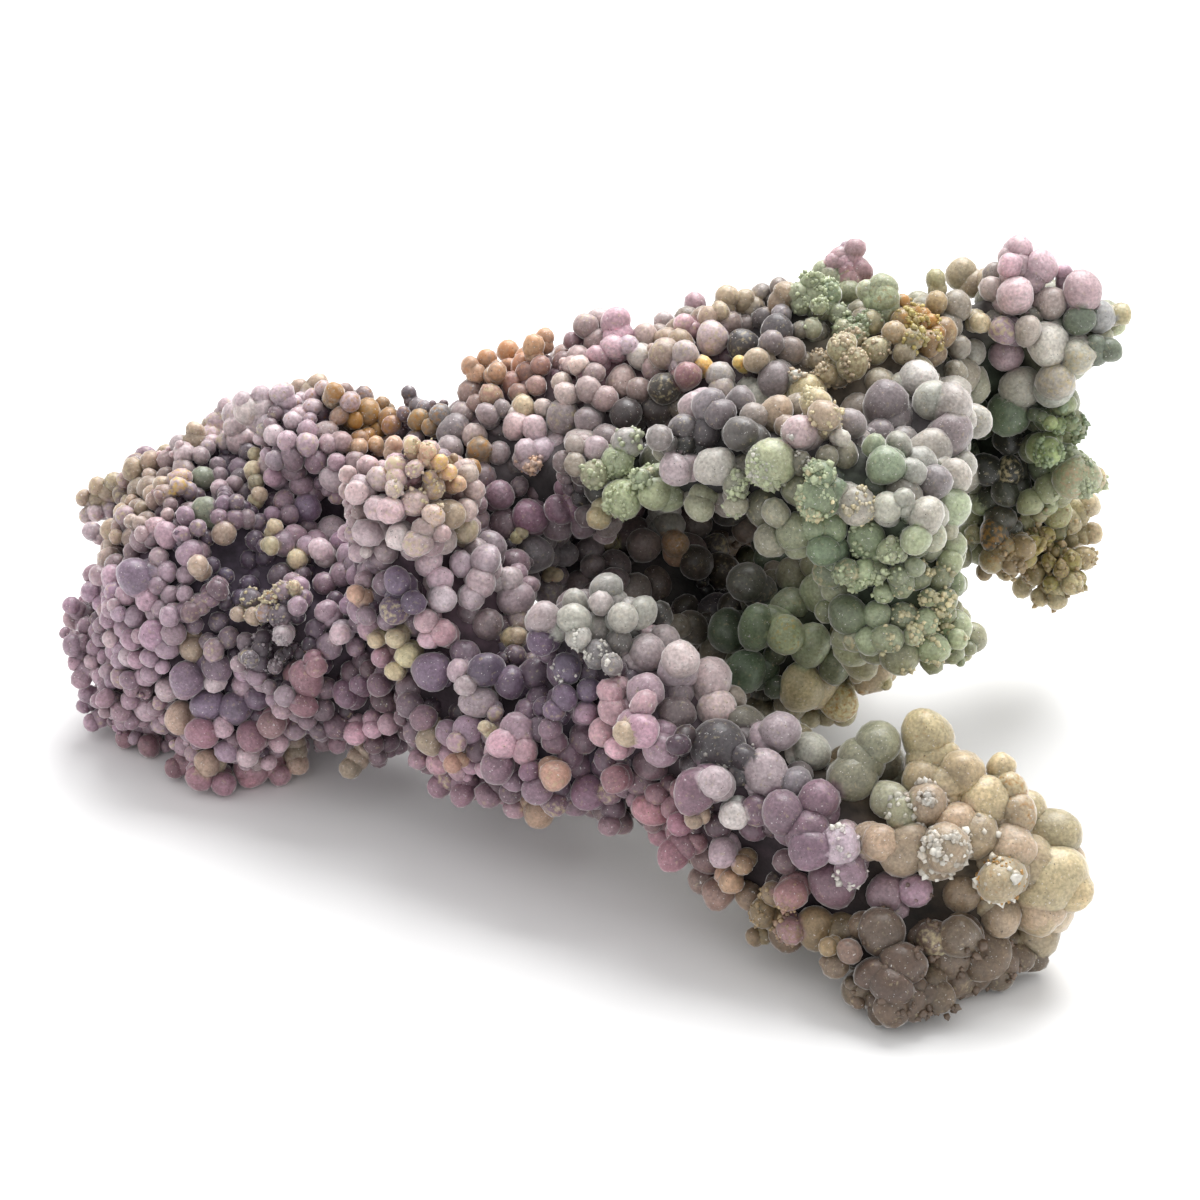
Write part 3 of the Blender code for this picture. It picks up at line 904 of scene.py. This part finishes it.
def grape_colours(bunch, zones, dice):
    """The colour of each grape's tip, as linear light; deeper grapes take the colour below the tips,
    partly their own and darkened further as painted shade.
    """
    centres, radii = np.array(bunch.centres), np.array(bunch.radii)
    share = blend_zones(zones, centres)
    # Painted shade: deeper grapes fade to the colour below the tips, darkened further
    below = np.clip(np.array(bunch.depths) / (TIP_DEPTH * radii), 0.0, 1.0)[:, None]
    colours = (share @ zones["tips"]) * (1.0 - below)
    colours += (share @ zones["deeps"]) * DEEP_PAINTED_SHADE * below
    for index, tint in enumerate(bunch.tints):
        if tint is not None:
            colours[index] = TINT_SHARE * linear(tint) + (1.0 - TINT_SHARE) * colours[index]
    brightness = dice.normal(1.0, BRIGHTNESS_SPREAD, (len(centres), 1))
    colours *= brightness * dice.normal(1.0, HUE_SPREAD, colours.shape)
    return np.clip(colours * SURFACE_SHARE, *LIGHT_RANGE)


def grape_stains(bunch, skin, dice):
    """Colour of the dust on each grape, and the share of its tip that is covered."""
    centres = np.array(bunch.centres)
    count = len(centres)
    colours = np.tile(linear(CREAM) * SURFACE_SHARE, (count, 1))
    cover = np.where(dice.random(count) < STRAY_SHARE, dice.uniform(*STRAY_COVER, count), 0.0)
    for u, v, reach, colour, amount in STAINS.values():
        place = find_by_pixel(skin, u, v)
        width = reach / pixel_scale(place)
        away = np.linalg.norm(centres - np.array(place), axis=1) / width
        local = amount * np.clip(STAIN_REACH - away, 0.0, 1.0) * dice.uniform(*STAIN_SPREAD, count)
        colours[local > cover] = linear(colour) * SURFACE_SHARE
        cover = np.maximum(cover, local)
    cover *= np.clip(1.0 - np.array(bunch.depths) / STAIN_DEPTH, 0.0, 1.0)
    return colours, np.clip(cover, 0.0, 1.0)


# Meshes. Each piece of the skin takes the grapes that are nearest to its anchor, in mm.

PIECES = {
    "grapes_head_end": (-42.0, 14.0, 10.0),
    "grapes_head_front": (-28.0, 2.0, 8.0),
    "grapes_head_back": (-30.0, 28.0, 14.0),
    "grapes_crest": (-22.0, 14.0, 30.0),
    "grapes_belly": (-9.0, -6.0, 12.0),
    "grapes_ridge": (5.0, 20.0, 38.0),
    "grapes_brow": (16.0, -4.0, 36.0),
    "grapes_web": (22.0, 2.0, 14.0),
    "grapes_heel": (12.0, 30.0, 14.0),
    "grapes_back_lobe": (40.0, 25.0, 28.0),
    "grapes_spine": (6.0, -14.0, 17.0),
    "grapes_lower_end": (29.0, -22.0, 9.0),
}


def ball_template(cuts):
    """Points and faces of a unit sphere: an icosahedron with each edge cut."""
    shape = bmesh.new()
    bmesh.ops.create_icosphere(shape, subdivisions=1, radius=1.0)
    bmesh.ops.subdivide_edges(shape, edges=shape.edges, cuts=cuts, use_grid_fill=True)
    bmesh.ops.triangulate(shape, faces=shape.faces)
    points = np.array([vertex.co.normalized() for vertex in shape.verts])
    faces = np.array([[vertex.index for vertex in face.verts] for face in shape.faces])
    shape.free()
    return points, faces


def mesh_from(name, points, faces):
    """A mesh of triangles, from points in millimetres."""
    mesh = bpy.data.meshes.new(name)
    mesh.vertices.add(len(points))
    mesh.vertices.foreach_set("co", (points * MM).ravel())
    mesh.loops.add(faces.size)
    mesh.loops.foreach_set("vertex_index", faces.ravel())
    mesh.polygons.add(len(faces))
    mesh.polygons.foreach_set("loop_start", np.arange(len(faces)) * 3)
    mesh.update(calc_edges=True)
    return mesh


def joined(name, shapes):
    """One mesh from many (points, faces)."""
    starts = np.cumsum([0] + [len(points) for points, _ in shapes])
    points = np.concatenate([points for points, _ in shapes])
    faces = np.concatenate([faces + start for (_, faces), start in zip(shapes, starts)])
    return mesh_from(name, points, faces)


def disjoint_groups(centres, radii):
    """Sorts grapes into groups in which none touches another."""
    groups = []
    for index in range(len(centres)):
        for group in groups:
            away = np.linalg.norm(centres[group] - centres[index], axis=1)
            if (away > GROUP_GAP * (radii[group] + radii[index])).all():
                group.append(index)
                break
        else:
            groups.append([index])
    return groups


def lumps_on(points, strength, dice):
    """Share by which each point of a unit ball stands out, from a few broad waves."""
    waves = dice.normal(0.0, WAVE_RATE, (WAVES, 3))
    phases = dice.uniform(0.0, math.tau, WAVES)
    return 1.0 + strength * np.sin(points @ waves.T + phases).sum(axis=1)


def shaped_balls(name, grown, members, dice):
    """One mesh of separate grapes, each a little uneven, with each point's grape number."""
    shapes, owners = [], []
    for index in members:
        points, faces = grown["templates"][grown["detail"][index]]
        axis = Vector(dice.normal(size=3))
        turned = points @ np.array(Matrix.Rotation(dice.uniform(0.0, math.tau), 3, axis)).T
        along = (turned @ grown["axis"][index]) ** 2
        reach = 1.0 + grown["stretch"][index] * along
        reach = reach * lumps_on(turned, grown["lumps"][index], dice)
        reach *= 1.0 + GRAIN * dice.standard_normal(len(points))
        radius = grown["radii"][index]
        shapes.append((grown["centres"][index] + turned * (radius * reach)[:, None], faces))
        owners.append(np.full(len(points), index + 1))
    mesh = joined(name, shapes)
    owner = mesh.attributes.new("grape", "INT", "POINT")
    owner.data.foreach_set("value", np.concatenate(owners).astype(np.int32))
    return mesh


def union_of(name, meshes):
    """Joins meshes of balls into one closed skin."""
    collection = bpy.data.collections.new(name)
    bpy.context.scene.collection.children.link(collection)
    base = bpy.data.objects.new(name, meshes[0])
    bpy.context.scene.collection.objects.link(base)
    for mesh in meshes[1:]:
        collection.objects.link(bpy.data.objects.new(name + "_more", mesh))
    join = base.modifiers.new("join", "BOOLEAN")
    join.operation = "UNION"
    join.operand_type = "COLLECTION"
    join.collection = collection
    join.solver = "MANIFOLD"
    graph = bpy.context.evaluated_depsgraph_get()
    skin_mesh = bpy.data.meshes.new_from_object(base.evaluated_get(graph))
    base.modifiers.clear()
    base.data = skin_mesh
    for other in list(collection.objects):
        bpy.data.objects.remove(other)
    bpy.data.collections.remove(collection)
    return base


def point_array(mesh):
    points = np.empty(len(mesh.vertices) * 3)
    mesh.vertices.foreach_get("co", points)
    return points.reshape(-1, 3) / MM


def claim_seams(mesh, points, grown):
    """The grape that each point belongs to, with seam points given to the nearest surface.

    The seams between grapes become sharp edges.
    """
    owners = np.empty(len(mesh.vertices), np.int32)
    mesh.attributes["grape"].data.foreach_get("value", owners)
    seam = owners == 0
    for index in np.flatnonzero(seam):
        best = min(
            (abs(distance - grown["radii"][number]), number)
            for _, number, distance in grown["tree"].find_n(points[index], SEAM_CANDIDATES)
        )
        owners[index] = best[1] + 1
    ends = np.empty(len(mesh.edges) * 2, np.int32)
    mesh.edges.foreach_get("vertices", ends)
    ends = ends.reshape(-1, 2)
    sharp = mesh.attributes.new("sharp_edge", "BOOLEAN", "EDGE")
    sharp.data.foreach_set("value", seam[ends[:, 0]] & seam[ends[:, 1]])
    return owners - 1


def write_colour(mesh, name, colours, alpha=1.0):
    rows = np.ones((len(mesh.vertices), 4))
    rows[:, :3] = colours
    rows[:, 3] = alpha
    layer = mesh.attributes.new(name, "FLOAT_COLOR", "POINT")
    layer.data.foreach_set("color", rows.ravel())


def paint(mesh, owners, points, grown):
    """Writes each point's colour, paler towards its grape's tip and darker on the side that faces into the
    growth, partly the frost of the tips and partly painted shade, and, towards its grape's outer side, the
    dust on it.
    """
    outward = points - grown["centres"][owners]
    outward /= np.maximum(np.linalg.norm(outward, axis=1), 1e-9)[:, None]
    facing = np.einsum("ij,ij->i", outward, grown["outward"][owners])
    # Painted shade: each point is darker the more it faces into the growth, and paler towards the tip
    lit = np.clip(SHADE_RAMP[0] + SHADE_RAMP[1] * facing, 0.0, 1.0)
    shade = SIDE_SHADE + (TIP_SHADE - SIDE_SHADE) * lit
    write_colour(mesh, "tone", grown["colours"][owners] * shade[:, None])
    dusty = np.clip(DUST_RAMP[0] + DUST_RAMP[1] * facing, 0.0, 1.0)
    write_colour(mesh, "dust", grown["dust"][owners], dusty * grown["cover"][owners])
    mesh.attributes.remove(mesh.attributes["grape"])


def make_grapes(grown, dice):
    """The skins of grapes, one for each of the named pieces."""
    anchors = np.array(list(PIECES.values()))
    away = np.linalg.norm(grown["centres"][:, None] - anchors[None], axis=2)
    nearest = away.argmin(axis=1)
    pieces = []
    for number, name in enumerate(PIECES):
        members = np.flatnonzero(nearest == number)
        groups = disjoint_groups(grown["centres"][members], grown["radii"][members])
        meshes = [shaped_balls(name, grown, members[group], dice) for group in groups]
        piece = union_of(name, meshes)
        points = point_array(piece.data)
        paint(piece.data, claim_seams(piece.data, points, grown), points, grown)
        piece.data.shade_smooth()
        pieces.append(piece)
    return pieces


def crystal_shape(heading, size, dice):
    """A blunt little crystal that points along its heading: a tapered prism with a tip."""
    side = heading.orthogonal().normalized()
    other = heading.cross(side)
    turn = dice.uniform(0.0, math.tau)
    points = []
    for height, width in CRYSTAL_RINGS:
        for step in range(CRYSTAL_SIDES):
            angle = turn + math.tau * step / CRYSTAL_SIDES
            spoke = side * math.cos(angle) + other * math.sin(angle)
            reach = width * dice.uniform(*CRYSTAL_WIDTHS)
            points.append((spoke * reach + heading * height) * 0.5 * size)
    points.append(heading * size * dice.uniform(*CRYSTAL_TIPS))
    points.append(heading * size * CRYSTAL_ROOT)
    tip, root = 2 * CRYSTAL_SIDES, 2 * CRYSTAL_SIDES + 1
    faces = []
    for low in range(CRYSTAL_SIDES):
        after = (low + 1) % CRYSTAL_SIDES
        high, high_after = CRYSTAL_SIDES + low, CRYSTAL_SIDES + after
        faces += [(low, after, high_after), (low, high_after, high)]
        faces += [(high, high_after, tip), (after, low, root)]
    return np.array(points), np.array(faces)


def make_druse(name, spec, grown, dice, skin):
    """Tiny crystals in patches on the outer sides of the grapes round one place."""
    u, v, reach, colour, size, count = spec
    place = find_by_pixel(skin, u, v)
    width = reach / pixel_scale(place)
    away = np.linalg.norm(grown["centres"] - np.array(place), axis=1)
    outer = np.flatnonzero(grown["depths"] < DRUSE_DEEPEST)
    outer = outer[np.argsort(away[outer])]
    near = outer[: max(FEWEST_CARRIERS, (away[outer] < DRUSE_REACH * width).sum())]
    weights = grown["radii"][near] ** 2 * np.exp(-((away[near] / width) ** 2))
    crystals, tones = [], []
    for index in dice.choice(near, count, p=weights / weights.sum()):
        normal = Vector(grown["outward"][index])
        heading = (Vector(dice.normal(size=3)).normalized() + normal * DRUSE_OUT).normalized()
        spot = grown["centres"][index] + np.array(heading) * grown["radii"][index] * DRUSE_SUNK
        patch = noise.noise(Vector(spot) / DRUSE_PATCH)
        scale = size * dice.uniform(*CRYSTAL_SIZES) * (1.0 + DRUSE_GROWTH * max(patch, 0.0))
        if spot[2] < scale or patch < DRUSE_EDGE:
            continue
        lean = (heading + Vector(dice.normal(0.0, DRUSE_LEAN, 3))).normalized()
        points, faces = crystal_shape(lean, scale, dice)
        crystals.append((spot + points, faces))
        base = linear(colour) * dice.uniform(*CRYSTAL_TONES)
        share = dice.uniform(*CRYSTAL_SHARES)
        tone = base * share + grown["colours"][index] * (1.0 - share)
        tones.append(np.tile(tone, (len(points), 1)))
    mesh = joined(name, crystals)
    write_colour(mesh, "tone", np.concatenate(tones))
    piece = bpy.data.objects.new(name, mesh)
    bpy.context.scene.collection.objects.link(piece)
    return piece


def make_ground(node, skin, zones, hollows):
    """The dark massive chalcedony under the grapes, its colour darkened further as painted shade of the
    gaps that show it.
    """
    ground = bpy.data.objects.new("ground_mass", node.data.copy())
    bpy.context.scene.collection.objects.link(ground)
    ground.data.materials.clear()
    first_voxel, last_voxel = GROUND_VOXELS
    steps = (("REMESH", first_voxel), ("DISPLACE", -GROUND_DEPTH), ("REMESH", last_voxel))
    for kind, setting in steps:
        modifier = ground.modifiers.new(kind.lower(), kind)
        if kind == "REMESH":
            modifier.mode = "VOXEL"
            modifier.voxel_size = setting * MM
        else:
            modifier.strength = setting * MM
            modifier.mid_level = 0.0
        graph = bpy.context.evaluated_depsgraph_get()
        shaped = bpy.data.meshes.new_from_object(ground.evaluated_get(graph))
        ground.modifiers.clear()
        ground.data = shaped
    mesh = ground.data
    points = point_array(mesh)
    dips = hollow_depths(hollows, points)
    for index in np.flatnonzero(dips > LEAST_CARVED):
        points[index] -= np.array(skin.normal(Vector(points[index]))) * dips[index]
    mesh.vertices.foreach_set("co", (points * MM).ravel())
    mesh.shade_smooth()
    # Painted shade: the colour below the tips, darkened further, for the gaps down to the ground mass
    write_colour(mesh, "tone", (blend_zones(zones, points) @ zones["deeps"]) * GROUND_SHARE)
    return ground


class Look:
    """A material: its Principled shader, and the nodes that feed it."""

    def __init__(self, name):
        self.material = bpy.data.materials.new(name)
        self.material.use_nodes = True
        self.tree = self.material.node_tree
        self.shader = self.tree.nodes["Principled BSDF"]
        self.coords = self.node("TexCoord", {}, "Object")

    def feed(self, node, inputs):
        """Gives each named input of a node a value, or links it to an output."""
        for name, value in inputs.items():
            if isinstance(value, bpy.types.NodeSocket):
                self.tree.links.new(value, node.inputs[name])
            else:
                node.inputs[name].default_value = value

    def node(self, kind, inputs, output, **settings):
        """Adds a node. Returns one of its outputs."""
        node = self.tree.nodes.new("ShaderNode" + kind)
        for name, value in settings.items():
            setattr(node, name, value)
        self.feed(node, inputs)
        return node.outputs[output]

    def attribute(self, name, output="Color"):
        return self.node("Attribute", {}, output, attribute_name=name)

    def noise(self, scale, detail):
        inputs = {"Vector": self.coords, "Scale": scale, "Detail": detail}
        return self.node("TexNoise", inputs, "Fac")

    def ranged(self, source, low, high, to_low, to_high):
        inputs = {"Value": source, "From Min": low, "From Max": high}
        return self.node("MapRange", inputs | {"To Min": to_low, "To Max": to_high}, "Result")

    def math(self, operation, first, second):
        return self.node("Math", {0: first, 1: second}, "Value", operation=operation)

    def scaled(self, colour, factor):
        return self.node("VectorMath", {0: colour, "Scale": factor}, "Vector", operation="SCALE")

    def mixed(self, factor, first, second):
        inputs = {"Factor": factor, "A": first, "B": second}
        return self.node("Mix", inputs, "Result", data_type="RGBA")

    def bumps(self, *steps):
        """Stacked bumps of several noises, each as (scale, strength, height in metres)."""
        below = {}
        for scale, strength, height in steps:
            inputs = {"Height": self.noise(scale, 2.0), "Strength": strength, "Distance": height}
            normal = self.node("Bump", inputs | below, "Normal")
            below = {"Normal": normal}
        return normal


def chalcedony_material():
    """Cloudy and finely grained, with dust, glints and dark specks, under a frosted rim."""
    look = Look("frosted_chalcedony")
    grain = look.noise(3600.0, 4.0)
    cloud = look.ranged(look.noise(800.0, 3.0), 0.3, 0.7, 0.84, 1.12)
    frost = look.ranged(grain, 0.32, 0.68, 0.76, 1.22)
    colour = look.scaled(look.attribute("tone"), look.math("MULTIPLY", cloud, frost))
    edge = look.ranged(look.noise(2600.0, 6.0), 0.3, 0.7, 0.45, -0.45)
    raised = look.math("ADD", look.attribute("dust", "Alpha"), edge)
    covered = look.ranged(raised, 0.25, 0.75, 0.0, 0.85)
    colour = look.mixed(covered, colour, look.attribute("dust"))
    sparkle = look.noise(5200.0, 1.0)
    glints = look.ranged(sparkle, 0.70, 0.76, 0.0, 0.85)
    colour = look.mixed(glints, colour, (0.70, 0.68, 0.66, 1.0))
    specks = look.ranged(sparkle, 0.27, 0.24, 0.0, 0.8)
    colour = look.mixed(specks, colour, (0.05, 0.04, 0.035, 1.0))
    look.feed(look.shader, {
        "Base Color": colour,
        "Roughness": look.ranged(grain, 0.3, 0.7, 0.30, 0.50),
        "Normal": look.bumps((1400.0, 0.4, 0.00012), (4600.0, 0.55, 0.00006)),
        "IOR": 1.54,
        "Subsurface Weight": 0.85,
        "Subsurface Radius": (1.0, 0.8, 0.85),
        "Subsurface Scale": 0.0012,
        "Sheen Weight": 1.0,
        "Sheen Roughness": 0.28,
        "Sheen Tint": (1.0, 0.98, 0.96, 1.0),
    })
    return look.material


def druse_material():
    look = Look("sugary_druse")
    shade = look.ranged(look.noise(1800.0, 2.0), 0.3, 0.7, 0.7, 1.25)
    look.feed(look.shader, {
        "Base Color": look.scaled(look.attribute("tone"), shade),
        "Normal": look.bumps((6000.0, 0.4, 0.00004)),
        "Roughness": 0.28,
        "IOR": 1.54,
        "Subsurface Weight": 0.3,
        "Subsurface Radius": (1.0, 0.9, 0.9),
        "Subsurface Scale": 0.0004,
    })
    return look.material


def ground_material():
    look = Look("dark_ground_mass")
    shade = look.ranged(look.noise(700.0, 5.0), 0.3, 0.7, 0.4, 1.6)
    look.feed(look.shader, {
        "Base Color": look.scaled(look.attribute("tone"), shade),
        "Normal": look.bumps((1500.0, 0.6, 0.0002)),
        "Roughness": 0.8,
    })
    return look.material


def paper_material():
    look = Look("white_paper")
    look.feed(look.shader, {"Base Color": (0.9, 0.9, 0.9, 1.0), "Roughness": 0.9})
    return look.material


def make_floor():
    bpy.ops.mesh.primitive_plane_add(size=FLOOR_SIDE, location=(0.0, 0.0, 0.0))
    floor = bpy.context.object
    floor.name = "floor"
    floor.data.materials.append(paper_material())


def make_room():
    """A white room all round, shown without any film curve."""
    world = bpy.data.worlds.new("white_studio")
    world.use_nodes = True
    background = world.node_tree.nodes["Background"]
    background.inputs["Color"].default_value = (1.0, 1.0, 1.0, 1.0)
    background.inputs["Strength"].default_value = WORLD_STRENGTH
    bpy.context.scene.world = world
    bpy.context.scene.view_settings.view_transform = "Standard"


def make_key_light():
    data = bpy.data.lights.new("key", "AREA")
    data.size = KEY_SIZE
    data.energy = KEY_POWER
    light = bpy.data.objects.new("key", data)
    light.location = KEY_PLACE
    aim = CAMERA_TARGET * MM - Vector(KEY_PLACE)
    light.rotation_euler = aim.to_track_quat("-Z", "Y").to_euler()
    bpy.context.scene.collection.objects.link(light)


def make_camera():
    camera = bpy.data.objects.new("camera", bpy.data.cameras.new("camera"))
    camera.data.sensor_width = SENSOR_WIDTH
    camera.data.lens = FOCAL_PIXELS / PHOTO_SIDE * SENSOR_WIDTH
    camera.data.clip_start = 0.01
    camera.location = CAMERA_PLACE * MM
    camera.rotation_euler = FORWARD.to_track_quat("-Z", "Y").to_euler()
    bpy.context.scene.collection.objects.link(camera)
    bpy.context.scene.camera = camera


def grow_bunch(skin, zones, hollows, rng, dice):
    """All the grapes: first the listed ones, then the layers, stalks and nubs."""
    bunch = Bunch()
    grow_landmarks(bunch, skin)
    for layer in (OUTER_LAYER, MIDDLE_LAYER, INNER_LAYER):
        grow_layer(bunch, skin, zones, hollows, rng, dice, layer)
    grow_stalks(bunch, skin, rng)
    grow_nubs(bunch, skin, rng)
    return bunch


def packed_bunch(bunch, skin, zones, dice):
    """The grown grapes as arrays, with what their meshes and colours need."""
    centres = np.array(bunch.centres)
    radii = np.array(bunch.radii)
    depths = np.array(bunch.depths)
    count = len(centres)
    tree = KDTree(count)
    for index, centre in enumerate(centres):
        tree.insert(centre, index)
    tree.balance()
    axis = dice.normal(size=(count, 3))
    detail = np.where(radii > FINE_RADIUS, 3, 2)
    detail[(depths > PLAIN_DEPTH * radii) | (radii < PLAIN_RADIUS)] = 1
    dust, cover = grape_stains(bunch, skin, dice)
    broken = np.array([tint == BROWN for tint in bunch.tints])
    smooth_lumps = LEAST_LUMPS + LUMPS_PER_MM * np.minimum(radii, MOST_LUMPY_RADIUS)
    return {
        "centres": centres,
        "radii": radii,
        "depths": depths,
        "colours": grape_colours(bunch, zones, dice),
        "dust": dust,
        "cover": cover,
        "outward": np.array([np.array(skin.normal(centre)) for centre in centres]),
        "tree": tree,
        "axis": axis / np.linalg.norm(axis, axis=1)[:, None],
        "stretch": dice.uniform(*STRETCH, count),
        "lumps": np.where(broken, BROKEN_LUMPS, smooth_lumps),
        "detail": detail,
        "templates": {cuts: ball_template(cuts) for cuts in (1, 2, 3)},
    }


def dress(pieces, material):
    """Gives pieces their material, and what the frame needs to know of them."""
    for piece in pieces:
        piece.data.materials.clear()
        piece.data.materials.append(material)
        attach(piece, "root")
        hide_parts(NODE)


def triangle_count(piece):
    piece.data.calc_loop_triangles()
    return len(piece.data.loop_triangles)


def main():
    rng = random.Random(SEED)
    dice = np.random.default_rng(SEED)
    node = frame["nodes"][NODE]
    skin = Skin(node)
    zones = read_zones(skin)
    hollows = read_hollows(skin)
    bunch = grow_bunch(skin, zones, hollows, rng, dice)
    grown = packed_bunch(bunch, skin, zones, dice)
    grapes = make_grapes(grown, dice)
    druses = [make_druse("druse_" + name, spec, grown, dice, skin) for name, spec in DRUSES.items()]
    ground = make_ground(node, skin, zones, hollows)
    dress(grapes, chalcedony_material())
    dress(druses, druse_material())
    dress([ground], ground_material())
    counts = {piece.name: triangle_count(piece) for piece in grapes + druses + [ground]}
    print("grapes", len(bunch.centres), "triangles", sum(counts.values()), counts)
    make_floor()
    make_room()
    make_key_light()
    make_camera()


main()
